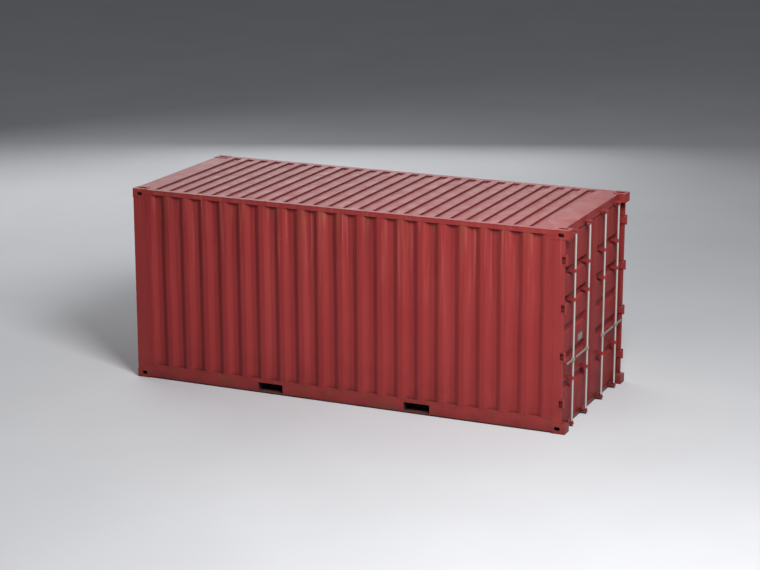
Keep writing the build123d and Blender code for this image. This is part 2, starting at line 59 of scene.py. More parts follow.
SIDES = (("left", -1), ("right", 1))
OUT = Vector((1, 0, 0))
UP = Vector((0, 0, 1))
SEED = 11
chance = random.Random(SEED)

# Camera, solved from the photograph's corners
CAMERA_AT = (10.815, -24.436, 8.380)
CAMERA_AZIMUTH = 23.88
CAMERA_ELEVATION = 14.84
LENS_MM = 98.6
SENSOR_MM = 36.0
VIEW_DEPTH = 500.0

# Studio, with the name, place, aim, width and watts of each lamp
FLOOR_REACH = 160.0
SKY = (0.80, 0.84, 0.90, 1.0)
SKY_STRENGTH = 0.16
LAMPS = (
    ("key_softbox", (7.5, -8.0, 11.0), (0.5, 0.0, 1.2), 5.0, 2800.0),
    ("back_softbox", (-6.0, 14.0, 6.0), (0.0, 0.0, 2.6), 9.0, 480.0),
    ("corner_softbox", (-13.0, 7.0, 9.0), (-2.0, 0.0, 1.3), 10.0, 850.0),
)

# Colours, linear
RED = (0.236, 0.0236, 0.0240)
RED_FADED = (0.315, 0.046, 0.043)
RED_PALE = (0.400, 0.105, 0.085)
RED_DEEP = (0.080, 0.0080, 0.009)
# Near black, painted into holes as shade
HOLE_SHADE_BLACK = (0.016, 0.0050, 0.0050)
DUST = (0.36, 0.19, 0.18)
RUST = (0.125, 0.050, 0.020)
RUST_PALE = (0.200, 0.080, 0.032)
PRIMER = (0.26, 0.17, 0.15)
ZINC = (0.47, 0.455, 0.43)
ZINC_DARK = (0.36, 0.355, 0.34)
HANDLE_GREY = (0.29, 0.295, 0.255)
HANDLE_DARK = (0.19, 0.195, 0.165)
ZINC_GRIME = (0.24, 0.20, 0.15)
PLATE_GREY = (0.22, 0.22, 0.225)
RUBBER = (0.018, 0.018, 0.019)
RUBBER_DUST = (0.075, 0.066, 0.062)
PLY = (0.30, 0.17, 0.085)
PLY_DARK = (0.15, 0.08, 0.04)
PLY_WORN = (0.36, 0.25, 0.16)
TAR = (0.045, 0.022, 0.020)
TAR_RED = (0.100, 0.036, 0.030)
FLOOR_PALE = (0.50, 0.505, 0.52)
FLOOR_PALER = (0.53, 0.535, 0.55)

# Heights between which the paint changes
STREAK_LOW = 1.2
STREAK_HIGH = 2.55
STAIN_LOW = 1.95
RUST_TOP = 0.40
RUST_FULL = 0.02
GRIME_TOP = 0.70
GROUND = 0.0

# Upward part of a normal, where dust starts and is full, and where painted shade on the trough slopes is
# full and ends
DUST_STEEP = 0.45
DUST_FLAT = 0.98
TROUGH_STEEP = 0.85
TROUGH_FLAT = 0.985

# The cams at the rod ends are painted, the rods are bare and their handle hubs dull
CAM_HIGH = 0.0185
HUB_HALF = 0.0225
PAINT_EDGE = 0.001
ZINC_METALLIC = 0.30

# Floor boards
BOARD_WIDE = 0.582
BOARD_LONG = 1.20
BOARD_SEAM = 0.003

# Usual spread of noise, and samples of the nodes that look around a point
DRIFT_LOW = 0.3
DRIFT_HIGH = 0.7
EDGE_SAMPLES = 4
HOLLOW_SAMPLES = 6

# Numbers of a mix node's sockets for colours
MIX_AMOUNT = 0
MIX_UNDER = 6
MIX_OVER = 7
MIX_RESULT = 2


def joint_at(name):
    """Where a joint of the frame sits."""
    return Vector(next(j["pos_m"] for j in frame["joints"] if j["name"] == name))


class Shader:
    """A material under construction, with short calls for its nodes."""

    def __init__(self, name):
        self.material = bpy.data.materials.new(name)
        self.material.use_nodes = True
        self.tree = self.material.node_tree
        self.surface = self.tree.nodes["Principled BSDF"]
        self.place = self.add("ShaderNodeTexCoord").outputs["Object"]
        split = self.add("ShaderNodeSeparateXYZ")
        self.link(self.place, split.inputs[0])
        self.along = split.outputs["X"]
        self.across = split.outputs["Y"]
        self.height = split.outputs["Z"]
        facing = self.add("ShaderNodeSeparateXYZ")
        self.geometry = self.add("ShaderNodeNewGeometry")
        self.link(self.geometry.outputs["Normal"], facing.inputs[0])
        self.up = facing.outputs["Z"]

    def add(self, kind, **settings):
        """A new node with its settings."""
        made = self.tree.nodes.new(kind)
        for key, value in settings.items():
            setattr(made, key, value)
        return made

    def link(self, source, target):
        """Join an output to an input."""
        self.tree.links.new(source, target)

    def feed(self, value, target):
        """Give an input a number, a colour or another node's output."""
        if isinstance(value, bpy.types.NodeSocket):
            self.link(value, target)
        elif isinstance(value, tuple):
            target.default_value = (*value, 1.0)
        else:
            target.default_value = value

    def noise(self, scale, detail, roughness=0.55, stretch=(1, 1, 1)):
        """Noise over the object's own coordinates."""
        mapping = self.add("ShaderNodeMapping")
        mapping.inputs["Scale"].default_value = stretch
        self.link(self.place, mapping.inputs["Vector"])
        made = self.add("ShaderNodeTexNoise")
        made.inputs["Scale"].default_value = scale
        made.inputs["Detail"].default_value = detail
        made.inputs["Roughness"].default_value = roughness
        self.link(mapping.outputs[0], made.inputs["Vector"])
        return made.outputs["Fac"]

    def span(self, value, low, high, to_low=0.0, to_high=1.0):
        """A value mapped from one range to another, held at the ends."""
        made = self.add("ShaderNodeMapRange", clamp=True)
        self.feed(value, made.inputs["Value"])
        made.inputs["From Min"].default_value = low
        made.inputs["From Max"].default_value = high
        made.inputs["To Min"].default_value = to_low
        made.inputs["To Max"].default_value = to_high
        return made.outputs["Result"]

    def patches(self, low, high, scale, detail, roughness=0.55, stretch=(1, 1, 1)):
        """Noise that is clear below one level and full above another."""
        return self.span(self.noise(scale, detail, roughness, stretch), low, high)

    def runs(self, low, high, scale, thin, detail=3.0, roughness=0.5):
        """Upright streaks."""
        return self.patches(low, high, scale, detail, roughness, (1, 1, thin))

    def drift(self, least, most, scale, detail):
        """A value that drifts between two limits."""
        return self.span(self.noise(scale, detail), DRIFT_LOW, DRIFT_HIGH, least, most)

    def maths(self, operation, a, b):
        """One arithmetic step."""
        made = self.add("ShaderNodeMath", operation=operation)
        self.feed(a, made.inputs[0])
        self.feed(b, made.inputs[1])
        return made.outputs[0]

    def times(self, a, b):
        """Two values multiplied."""
        return self.maths("MULTIPLY", a, b)

    def mix(self, amount, under, over):
        """One colour over another."""
        made = self.add("ShaderNodeMix", data_type="RGBA")
        self.feed(amount, made.inputs[MIX_AMOUNT])
        self.feed(under, made.inputs[MIX_UNDER])
        self.feed(over, made.inputs[MIX_OVER])
        return made.outputs[MIX_RESULT]

    def lay(self, under, over, strength, *masks):
        """One colour over another, where every mask is high."""
        amount = masks[0]
        for mask in masks[1:]:
            amount = self.times(amount, mask)
        return self.mix(self.times(amount, strength), under, over)

    def edges(self, radius, sharp):
        """High along edges."""
        rounded = self.add("ShaderNodeBevel", samples=EDGE_SAMPLES)
        rounded.inputs["Radius"].default_value = radius
        dot = self.add("ShaderNodeVectorMath", operation="DOT_PRODUCT")
        self.link(rounded.outputs[0], dot.inputs[0])
        self.link(self.geometry.outputs["Normal"], dot.inputs[1])
        return self.span(dot.outputs["Value"], 1.0, 1.0 - sharp)

    def hollow_shade(self, distance, open_at, closed_at):
        """High in corners and gaps, where painted shade goes."""
        made = self.add("ShaderNodeAmbientOcclusion", samples=HOLLOW_SAMPLES)
        made.inputs["Distance"].default_value = distance
        return self.span(made.outputs["AO"], open_at, closed_at)

    def bump(self, height, strength, distance):
        """Fine relief."""
        made = self.add("ShaderNodeBump")
        made.inputs["Strength"].default_value = strength
        made.inputs["Distance"].default_value = distance
        self.link(height, made.inputs["Height"])
        self.link(made.outputs[0], self.surface.inputs["Normal"])

    def finish(self, colour, roughness, metallic=0.0, specular=0.5):
        """Set the main inputs of the surface."""
        self.feed(colour, self.surface.inputs["Base Color"])
        self.feed(roughness, self.surface.inputs["Roughness"])
        self.feed(metallic, self.surface.inputs["Metallic"])
        self.surface.inputs["Specular IOR Level"].default_value = specular
        return self.material


def weathered_red(s, dust, rust, streaks):
    """Colour of oxide-red paint with clouds, runs, chips, dust on top and rust near the ground, with
    painted shade in corners and painted black shade in holes.
    """
    under_rail = s.span(s.height, STREAK_LOW, STREAK_HIGH)
    near_rail = s.span(s.height, STAIN_LOW, STREAK_HIGH)
    low_down = s.span(s.height, GRIME_TOP, GROUND)
    at_ground = s.span(s.height, RUST_TOP, RUST_FULL)
    clouds = s.patches(0.35, 0.70, scale=1.3, detail=6.0)
    colour = s.lay(RED, RED_FADED, 0.22, clouds)
    broad_runs = s.runs(0.50, 0.75, scale=5.0, thin=0.07)
    colour = s.lay(colour, RED_DEEP, 0.45 * streaks, broad_runs, under_rail)
    pale_runs = s.runs(0.52, 0.80, scale=7.0, thin=0.06)
    colour = s.lay(colour, RED_FADED, 0.55 * streaks, pale_runs)
    rusty_runs = s.runs(0.52, 0.74, scale=11.0, thin=0.10, detail=4.0, roughness=0.6)
    colour = s.lay(colour, RUST_PALE, 0.75 * streaks, rusty_runs, near_rail)
    fine_runs = s.runs(0.54, 0.70, scale=26.0, thin=0.035)
    colour = s.lay(colour, RED_PALE, 0.75 * streaks, fine_runs, under_rail)
    dark_runs = s.runs(0.56, 0.72, scale=21.0, thin=0.03)
    colour = s.lay(colour, RED_DEEP, 0.55 * streaks, dark_runs, under_rail)
    splashes = s.patches(0.42, 0.70, scale=4.0, detail=7.0, roughness=0.65)
    colour = s.lay(colour, RED_DEEP, 0.45, splashes, low_down)
    scuffs = s.patches(0.66, 0.74, scale=26.0, detail=5.0, roughness=0.6, stretch=(0.12, 1, 1.6))
    colour = s.lay(colour, PRIMER, 0.16, scuffs)
    rust_spots = s.patches(0.50, 0.68, scale=5.0, detail=8.0, roughness=0.7)
    colour = s.lay(colour, RUST, rust, rust_spots, at_ground)
    flakes = s.patches(0.52, 0.70, scale=24.0, detail=6.0, roughness=0.7)
    colour = s.lay(colour, RUST_PALE, 0.5, s.edges(radius=0.005, sharp=0.12), flakes)
    # Painted shade: the paint is darker in corners, recesses and between parts, where shade falls
    corners = s.hollow_shade(distance=0.14, open_at=1.0, closed_at=0.5)
    colour = s.lay(colour, RED_DEEP, 0.45, corners)
    # Painted shade: near black deep in holes and pockets, where light hardly reaches
    painted_hole_shade = s.hollow_shade(distance=0.16, open_at=0.45, closed_at=0.12)
    colour = s.mix(painted_hole_shade, colour, HOLE_SHADE_BLACK)
    specks = s.span(s.noise(scale=55.0, detail=3.0, roughness=0.7), 0.35, 0.75, to_low=0.45)
    facing_up = s.span(s.up, DUST_STEEP, DUST_FLAT)
    return s.lay(colour, DUST, dust, facing_up, specks)


def paint_surface(s, colour, shine):
    """Fine grain and half gloss of paint."""
    s.bump(s.noise(scale=95.0, detail=2.0), strength=0.05, distance=0.002)
    return s.finish(colour, s.drift(0.40, 0.54, scale=5.0, detail=5.0), specular=shine)


def red_paint(name, dust, rust, streaks, shine):
    """Weathered red paint over steel."""
    s = Shader(name)
    return paint_surface(s, weathered_red(s, dust, rust, streaks), shine)


def roof_paint(name):
    """Red paint with painted shade on the slopes of the stamped troughs."""
    s = Shader(name)
    # Painted shade: the trough slopes are darker than the flats, as they catch less light
    painted_slope_shade = s.span(s.up, TROUGH_FLAT, TROUGH_STEEP)
    colour = weathered_red(s, dust=0.12, rust=0.0, streaks=0.0)
    return paint_surface(s, s.lay(colour, RED_DEEP, 0.85, painted_slope_shade), shine=0.45)


def zinc_coat(s, light, dark):
    """Colour of zinc-coated steel with soft spangle and grime."""
    spangle = s.patches(0.35, 0.65, scale=48.0, detail=3.0)
    colour = s.lay(light, dark, 0.45, spangle)
    grime = s.patches(0.55, 0.76, scale=6.0, detail=6.0, roughness=0.7, stretch=(1, 1, 0.25))
    return s.lay(colour, ZINC_GRIME, 0.55, grime)


def zinc_surface(s, colour, metallic):
    """Fine grain and half gloss of zinc."""
    s.bump(s.noise(scale=140.0, detail=2.0), strength=0.05, distance=0.001)
    return s.finish(colour, s.drift(0.36, 0.50, scale=30.0, detail=3.0), metallic)


def galvanised(name, light, dark):
    """Bare zinc-coated steel."""
    s = Shader(name)
    return zinc_surface(s, zinc_coat(s, light, dark), ZINC_METALLIC)


def rod_finish(name):
    """Zinc-coated rod with a dull handle hub, and painted cams at both ends."""
    s = Shader(name)
    bottom, top = (c.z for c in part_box("outer_lock_rod_left"))
    cam_top = bottom + CAM_HIGH
    cam_base = top - CAM_HIGH
    low_cam = s.span(s.height, cam_top, cam_top + PAINT_EDGE, to_low=1.0, to_high=0.0)
    high_cam = s.span(s.height, cam_base - PAINT_EDGE, cam_base)
    painted = s.maths("MAXIMUM", low_cam, high_cam)
    hub_level = joint_at("outer_grip_left_lift").z
    from_hub = s.maths("ABSOLUTE", s.maths("SUBTRACT", s.height, hub_level), 0.0)
    hub = s.span(from_hub, HUB_HALF, HUB_HALF + PAINT_EDGE, to_low=1.0, to_high=0.0)
    metal = s.mix(hub, zinc_coat(s, ZINC, ZINC_DARK), zinc_coat(s, HANDLE_GREY, HANDLE_DARK))
    colour = s.mix(painted, metal, weathered_red(s, dust=0.15, rust=0.6, streaks=0.3))
    return zinc_surface(s, colour, s.span(painted, 0.0, 1.0, to_low=ZINC_METALLIC, to_high=0.0))


def rubber(name):
    """Dull black sealing rubber."""
    s = Shader(name)
    dusty = s.patches(0.45, 0.75, scale=18.0, detail=5.0)
    colour = s.lay(RUBBER, RUBBER_DUST, 0.25, dusty)
    s.bump(s.noise(scale=220.0, detail=2.0), strength=0.1, distance=0.001)
    return s.finish(colour, s.span(dusty, 0.0, 1.0, to_low=0.62, to_high=0.8), specular=0.3)


def plywood(name):
    """Varnished floor boards that run the length of the box."""
    s = Shader(name)
    grain = s.noise(scale=30.0, detail=6.0, roughness=0.6, stretch=(0.08, 1, 1))
    colour = s.mix(s.span(grain, 0.35, 0.70), PLY, PLY_DARK)
    worn = s.patches(0.5, 0.8, scale=2.2, detail=5.0)
    colour = s.lay(colour, PLY_WORN, 0.4, worn)
    beside = s.maths("PINGPONG", s.across, BOARD_WIDE / 2)
    ahead = s.maths("PINGPONG", s.along, BOARD_LONG / 2)
    seam = s.span(s.maths("MINIMUM", beside, ahead), 0.0, BOARD_SEAM, to_low=1.0, to_high=0.0)
    colour = s.mix(seam, colour, TAR)
    s.bump(s.maths("SUBTRACT", grain, seam), strength=0.15, distance=0.002)
    return s.finish(colour, s.span(worn, 0.0, 1.0, to_low=0.45, to_high=0.7))


def undercoat(name):
    """Dark sprayed coating below the floor."""
    s = Shader(name)
    blotches = s.patches(0.35, 0.7, scale=9.0, detail=6.0)
    colour = s.lay(TAR, TAR_RED, 0.6, blotches)
    s.bump(s.noise(scale=70.0, detail=4.0), strength=0.3, distance=0.003)
    return s.finish(colour, s.span(blotches, 0.0, 1.0, to_low=0.65, to_high=0.8), specular=0.3)


def plate_metal(name):
    """Plain grey plate, lightly scratched."""
    s = Shader(name)
    scratches = s.noise(scale=90.0, detail=3.0, roughness=0.6, stretch=(1, 1, 0.1))
    colour = s.mix(s.span(scratches, 0.45, 0.75), PLATE_GREY, ZINC_DARK)
    s.bump(scratches, strength=0.05, distance=0.001)
    roughness = s.span(scratches, DRIFT_LOW, DRIFT_HIGH, to_low=0.35, to_high=0.5)
    return s.finish(colour, roughness, metallic=0.4)


def floor_paint(name):
    """Pale studio floor."""
    s = Shader(name)
    colour = s.mix(s.drift(0.0, 1.0, scale=0.4, detail=3.0), FLOOR_PALE, FLOOR_PALER)
    return s.finish(colour, s.drift(0.8, 0.9, scale=0.8, detail=2.0), specular=0.1)


MATERIALS = {
    "wall": red_paint("red_wall_paint", dust=0.15, rust=0.25, streaks=0.7, shine=0.16),
    "roof": roof_paint("red_roof_paint"),
    "frame": red_paint("red_frame_paint", dust=0.15, rust=0.85, streaks=0.35, shine=0.22),
    "door": red_paint("red_door_paint", dust=0.12, rust=0.5, streaks=0.5, shine=0.06),
    "zinc": galvanised("galvanised_steel", ZINC, ZINC_DARK),
    "handle": galvanised("handle_steel", HANDLE_GREY, HANDLE_DARK),
    "rod": rod_finish("lock_rod_finish"),
    "rubber": rubber("seal_rubber"),
    "ply": plywood("floor_plywood"),
    "tar": undercoat("underside_coating"),
    "plate": plate_metal("data_plate_metal"),
    "studio": floor_paint("studio_floor"),
}

# First letters of a node's name, its material, the width of its softened edges and of its rounded folds
FINISHES = (
    ("floor_joists", "tar", 0.0, 0.0),
    ("floor", "ply", 0.001, 0.0),
    ("forklift_pocket", "tar", 0.0, 0.0),
    ("roof_panel", "roof", 0.0, 0.003),
    ("front_roof_plate", "roof", 0.0, 0.0),
    ("rear_roof_plate", "roof", 0.0, 0.0),
    ("side_panel", "wall", 0.0, 0.024),
    ("front_panel", "wall", 0.0, 0.018),
    ("door_gasket", "rubber", 0.002, 0.0),
    ("door_panel", "door", 0.0, 0.008),
    ("door_frame", "door", 0.002, 0.0),
    ("outer_lock_rod", "rod", 0.0012, 0.0),
    ("inner_lock_rod", "rod", 0.0012, 0.0),
    ("outer_handle", "handle", 0.0, 0.0),
    ("inner_handle", "handle", 0.0, 0.0),
    ("", "frame", 0.0025, 0.0),
)

# Points that count as one, and the angles and steps of rounded edges
WELD_GAP = 0.00001
SPOT_DIGITS = 5
HARD_ANGLE = math.radians(32)
FOLD_LEAST = math.radians(12)
FOLD_MOST = math.radians(80)
FOLD_STEPS = 3
EDGE_STEPS = 2


def spot(point):
    """A point's coordinates, rounded so that copies of it agree."""
    return tuple(round(c, SPOT_DIGITS) for c in point)


def mark_folds(mesh):
    """Give the folds of a sheet a bevel weight, and not its cut edges."""
    normals = {}
    for polygon in mesh.polygons:
        for key in polygon.edge_keys:
            ends = frozenset(spot(mesh.vertices[i].co) for i in key)
            normals.setdefault(ends, []).append(polygon.normal)
    weights = mesh.attributes.new("bevel_weight_edge", "FLOAT", "EDGE")
    for edge in mesh.edges:
        sides = normals[frozenset(spot(mesh.vertices[i].co) for i in edge.vertices)]
        if len(sides) == 2 and FOLD_LEAST < sides[0].angle(sides[1], 0.0) < FOLD_MOST:
            weights.data[edge.index].value = 1.0


def soften(obj, width, method, segments):
    """Round edges that are hard or that carry a bevel weight."""
    bevel = obj.modifiers.new("soft_" + method.lower(), "BEVEL")
    bevel.width = width
    bevel.segments = segments
    bevel.limit_method = method
    bevel.angle_limit = HARD_ANGLE


def dress(name, obj):
    """Material, smooth shading and softened edges for a node of the frame."""
    material, edge, fold = next(f[1:] for f in FINISHES if name.startswith(f[0]))
    obj.data.materials.clear()
    obj.data.materials.append(MATERIALS[material])
    for polygon in obj.data.polygons:
        polygon.use_smooth = True
    weld = obj.modifiers.new("join_split_points", "WELD")
    weld.merge_threshold = WELD_GAP
    if fold:
        mark_folds(obj.data)
        soften(obj, fold, "WEIGHT", FOLD_STEPS)
    if edge:
        soften(obj, edge, "ANGLE", EDGE_STEPS)
    split = obj.modifiers.new("hard_edges", "EDGE_SPLIT")
    split.split_angle = HARD_ANGLE
    obj.modifiers.new("flat_faces_stay_flat", "WEIGHTED_NORMAL")


for node_name, node_object in nodes.items():
    dress(node_name, node_object)


# Unit profiles of turned details, as radius and height
WASHER = ((1.50, 0.0), (1.50, 0.18), (1.38, 0.28))
HEX_HEAD = ((1.0, 0.28), (1.0, 0.90), (0.80, 1.06))
DOME = ((1.0, 0.0), (0.96, 0.28), (0.80, 0.58), (0.50, 0.80), (0.12, 0.90))
COLLAR = ((1.0, 0.0), (1.0, 0.55), (0.92, 0.75), (0.70, 0.92), (0.30, 1.0))
DISC = ((1.0, 0.0), (1.0, 0.12), (0.85, 0.18))
ROUND = 24
HEX = 6

# Weld beads
BEAD_STEP = 0.012
BEAD_SIDES = 6
BEAD_LEAST = 0.78
BEAD_MOST = 1.12
SEAM_BEAD = 0.0035
PART_BEAD = 0.0045

# Small details
GUIDE_BOLT = 0.0055
GUIDE_BOLT_OFF = 0.029
GUIDE_FOOT = 0.005
CATCH_BOLT = 0.0050
CATCH_PLATE = 0.006
CATCH_BOLT_RISE = (0.016, 0.040)
PIN_HEAD = 0.0115
KEEPER_NUB = 0.0105
PIVOT_WASHER = 0.0115
EAR_FACE = 0.011
SCREW = 0.006
SCREW_SIDES = 12
SCREW_ROWS = 12
SCREW_EDGE = 0.06

# Bare data plate on the left door, placed by its middle
PLATE_ACROSS = -0.418
PLATE_LEVEL = 1.053
PLATE_WIDE = 0.160
PLATE_HIGH = 0.088
PLATE_THICK = 0.0015
PLATE_RIM = 0.006
RIVET = 0.0035
RIVET_IN = 0.010

# Drip strip under the door header
HEADER_HIGH = 0.100
STRIP_BACK = 0.040
STRIP_FRONT = 0.006
STRIP_CLEAR = 0.006
STRIP_END = 0.100

# Rubber lips in the gaps round the doors
LIP = 0.0045
LIP_FRONT = 0.010
LIP_BACK = 0.036
LIP_TAPER = 0.004
CORNER_GAP = 0.008


def lumps(name):
    """Lowest and highest corner of each separate solid of a node."""
    mesh = nodes[name].data
    spots = [spot(v.co) for v in mesh.vertices]
    parent = {s: s for s in spots}

    def root(s):
        """The spot that stands for all those joined to this one."""
        while parent[s] != s:
            parent[s] = parent[parent[s]]
            s = parent[s]
        return s

    for edge in mesh.edges:
        a, b = (root(spots[i]) for i in edge.vertices)
        parent[a] = b
    groups = {}
    for s in parent:
        groups.setdefault(root(s), []).append(s)
    return [(Vector(map(min, zip(*g))), Vector(map(max, zip(*g)))) for g in groups.values()]


def rim(name, outward, level):
    """Corner points of a sheet's outer line at a level, in order along the sheet."""
    mesh = nodes[name].data
    found = set()
    for polygon in mesh.polygons:
        if polygon.normal.dot(outward) > math.sin(FOLD_LEAST):
            found.update(spot(mesh.vertices[i].co) for i in polygon.vertices)
    along = UP.cross(outward)
    line = [Vector(p) for p in found if abs(p[2] - level) < WELD_GAP]
    return sorted(line, key=lambda p: p.dot(along))


def resampled(path, step):
    """The path with extra points, none further apart than step."""
    made = []
    for a, b in zip(path, path[1:]):
        count = max(1, math.ceil((b - a).length / step))
        made += [a.lerp(b, i / count) for i in range(count)]
    return made + [path[-1]]


def round_angles(sides):
    """Evenly spaced angles round a circle."""
    return [2 * math.pi * i / sides for i in range(sides)]


class Shape:
    """Points and faces of a piece under construction."""

    def __init__(self):
        self.points = []
        self.faces = []

    def skin(self, rows, closed=False):
        """Faces between rows of points, capped at both ends unless the rows close on themselves."""
        start = len(self.points)
        wide = len(rows[0])
        for row in rows:
            self.points += row
        for r in range(len(rows) if closed else len(rows) - 1):
            here = start + r * wide
            after = start + (r + 1) % len(rows) * wide
            for i in range(wide):
                k = (i + 1) % wide
                self.faces.append((here + i, here + k, after + k, after + i))
        if not closed:
            self.faces.append(tuple(range(start, start + wide)))
            self.faces.append(tuple(range(len(self.points) - wide, len(self.points))))

    def turned(self, at, axis, profile, size, sides=ROUND):
        """A solid of revolution from a unit profile."""
        u = axis.orthogonal().normalized()
        v = axis.cross(u)
        ring = [u * math.cos(a) + v * math.sin(a) for a in round_angles(sides)]
        self.skin([[at + (axis * h + p * r) * size for p in ring] for r, h in profile])

    def bolt(self, at, axis, size):
        """A hexagon head on a washer."""
        self.turned(at, axis, WASHER, size)
        self.turned(at, axis, HEX_HEAD, size, HEX)

    def slab(self, low, high):
        """A box between two corners."""
        plan = ((low.x, low.y), (high.x, low.y), (high.x, high.y), (low.x, high.y))
        self.skin([[Vector((x, y, z)) for x, y in plan] for z in (low.z, high.z)])

    def bead(self, path, size, square_to):
        """An uneven weld bead along a path that lies square to a direction."""
        points = resampled(path, BEAD_STEP)
        angles = round_angles(BEAD_SIDES)
        rows = []
        for before, here, after in zip(points[:1] + points, points, points[1:] + points[-1:]):
            aside = (after - before).cross(square_to).normalized()
            radius = size * chance.uniform(BEAD_LEAST, BEAD_MOST)
            rows.append([here + (square_to * math.cos(a) + aside * math.sin(a)) * radius for a in angles])
        self.skin(rows)

    def place(self, name, material, body, slot):
        """Make the piece and let it move with a body."""
        mesh = bpy.data.meshes.new(name)
        mesh.from_pydata(self.points, [], self.faces)
        work = bmesh.new()
        work.from_mesh(mesh)
        bmesh.ops.recalc_face_normals(work, faces=work.faces)
        work.to_mesh(mesh)
        work.free()
        for polygon in mesh.polygons:
            polygon.use_smooth = True
        mesh.set_sharp_from_angle(angle=HARD_ANGLE)
        obj = bpy.data.objects.new(name, mesh)
        bpy.context.scene.collection.objects.link(obj)
        obj.data.materials.append(MATERIALS[material])
        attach(obj, body)


def wall_welds():
    """Seams of the wall sheets against the rails above and below them."""
    walls = [("side_panel_" + side, Vector((0, sign, 0))) for side, sign in SIDES]
    for name, outward in walls + [("front_panel", -OUT)]:
        low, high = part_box(name)
        shape = Shape()
        for level in (low.z, high.z):
            shape.bead(rim(name, outward, level), SEAM_BEAD, UP)
        shape.place(name + "_welds", "wall", "container", "red_paint")


def frame_welds():
    """Seams between castings, posts and rails."""
    shape = Shape()
    for side, sign in SIDES:
        outer = Vector((0, sign, 0))
        for name, facing in (("front_post_", -1), ("rear_post_", 1)):
            low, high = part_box(name + side)
            inner_x, end_x = (low.x, high.x) if facing > 0 else (high.x, low.x)
            outer_y, inner_y = (low.y, high.y) if sign < 0 else (high.y, low.y)
            for z in (low.z, high.z):
                path = [Vector((inner_x, outer_y, z)), Vector((end_x, outer_y, z))]
                if facing < 0:
                    path.append(Vector((end_x, inner_y, z)))
                shape.bead(path, PART_BEAD, UP)
        for name in ("bottom_side_rail_", "top_side_rail_"):
            low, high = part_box(name + side)
            y = low.y if sign < 0 else high.y
            for x in (low.x, high.x):
                shape.bead([Vector((x, y, low.z)), Vector((x, y, high.z))], PART_BEAD, outer)
    shape.place("frame_welds", "frame", "container", "red_paint")


def roof_welds():
    """Seams of the roof sheet along the rails."""
    low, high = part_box("roof_panel")
    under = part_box("rear_roof_plate")[0].z
    shape = Shape()
    for y in (low.y, high.y):
        shape.bead([Vector((low.x, y, under)), Vector((high.x, y, under))], SEAM_BEAD, UP)
    shape.place("roof_welds", "frame", "container", "red_paint")


def header_strip():
    """Drip strip under the header, over the top edge of the doors."""
    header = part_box("door_header")
    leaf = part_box("door_frame_left")[1]
    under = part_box("rear_roof_plate")[0].z - HEADER_HIGH
    low = Vector((leaf.x - STRIP_BACK, header[0].y + STRIP_END, leaf.z + STRIP_CLEAR))
    high = Vector((leaf.x - STRIP_FRONT, header[1].y - STRIP_END, under))
    shape = Shape()
    shape.slab(low, high)
    shape.place("header_strip", "frame", "container", "red_paint")


def keeper_details():
    """Welds round each keeper and a rounded pin end on its outer face."""
    welds = Shape()
    nubs = Shape()
    rod_x = joint_at("outer_rod_left_turn").x
    for low, high in lumps("cam_keepers"):
        upper = low.z > cad_box[1][2] / 2
        x = low.x
        corners = ((low.y, low.z), (high.y, low.z), (high.y, high.z), (low.y, high.z), (low.y, low.z))
        welds.bead([Vector((x, y, z)) for y, z in corners], PART_BEAD, OUT)
        at = Vector((rod_x, (low.y + high.y) / 2, high.z if upper else low.z))
        nubs.turned(at, UP if upper else -UP, COLLAR, KEEPER_NUB)
    welds.place("keeper_welds", "frame", "container", "red_paint")
    nubs.place("keeper_pin_ends", "frame", "container", "red_paint")


def hinge_details(side, sign):
    """Pin heads on the post's lugs and welds round the blades on the door."""
    heads = Shape()
    pin = joint_at(f"door_{side}_swing")
    for low, high in lumps("hinge_lugs_" + side):
        heads.turned(Vector((pin.x, pin.y, high.z)), UP, DOME, PIN_HEAD)
        heads.turned(Vector((pin.x, pin.y, low.z)), -UP, DOME, PIN_HEAD)
    heads.place("hinge_pin_heads_" + side, "frame", "container", "red_paint")
    welds = Shape()
    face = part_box("door_frame_" + side)[1].x
    edge = max(abs(c.y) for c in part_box("door_frame_" + side))
    for low, high in lumps("door_hinges_" + side):
        inner = min(abs(low.y), abs(high.y))
        line = ((edge, high.z), (inner, high.z), (inner, low.z), (edge, low.z))
        welds.bead([Vector((face, sign * y, z)) for y, z in line], PART_BEAD, OUT)
    welds.place("hinge_welds_" + side, "door", "door_" + side, "red_paint")


def rod_details(side):
    """Bolts of the rod guides and the handle catches, and washers at the handle pivots."""
    bolts = Shape()
    for low, high in lumps("rod_guides_" + side):
        mid = (low + high) / 2
        for off in (-GUIDE_BOLT_OFF, GUIDE_BOLT_OFF):
            bolts.bolt(Vector((low.x + GUIDE_FOOT, mid.y + off, mid.z)), OUT, GUIDE_BOLT)
    for low, high in lumps("handle_catches_" + side):
        for rise in CATCH_BOLT_RISE:
            at = Vector((low.x + CATCH_PLATE, (low.y + high.y) / 2, low.z + rise))
            bolts.bolt(at, OUT, CATCH_BOLT)
    bolts.place("lock_gear_bolts_" + side, "door", "door_" + side, "red_paint")
    for which in ("outer", "inner"):
        washers = Shape()
        pivot = joint_at(f"{which}_grip_{side}_lift")
        for way in (OUT, -OUT):
            washers.turned(pivot + way * EAR_FACE, way, DISC, PIVOT_WASHER)
        washers.place(f"{which}_pivot_washers_{side}", "handle", f"{which}_rod_{side}", "galvanised")


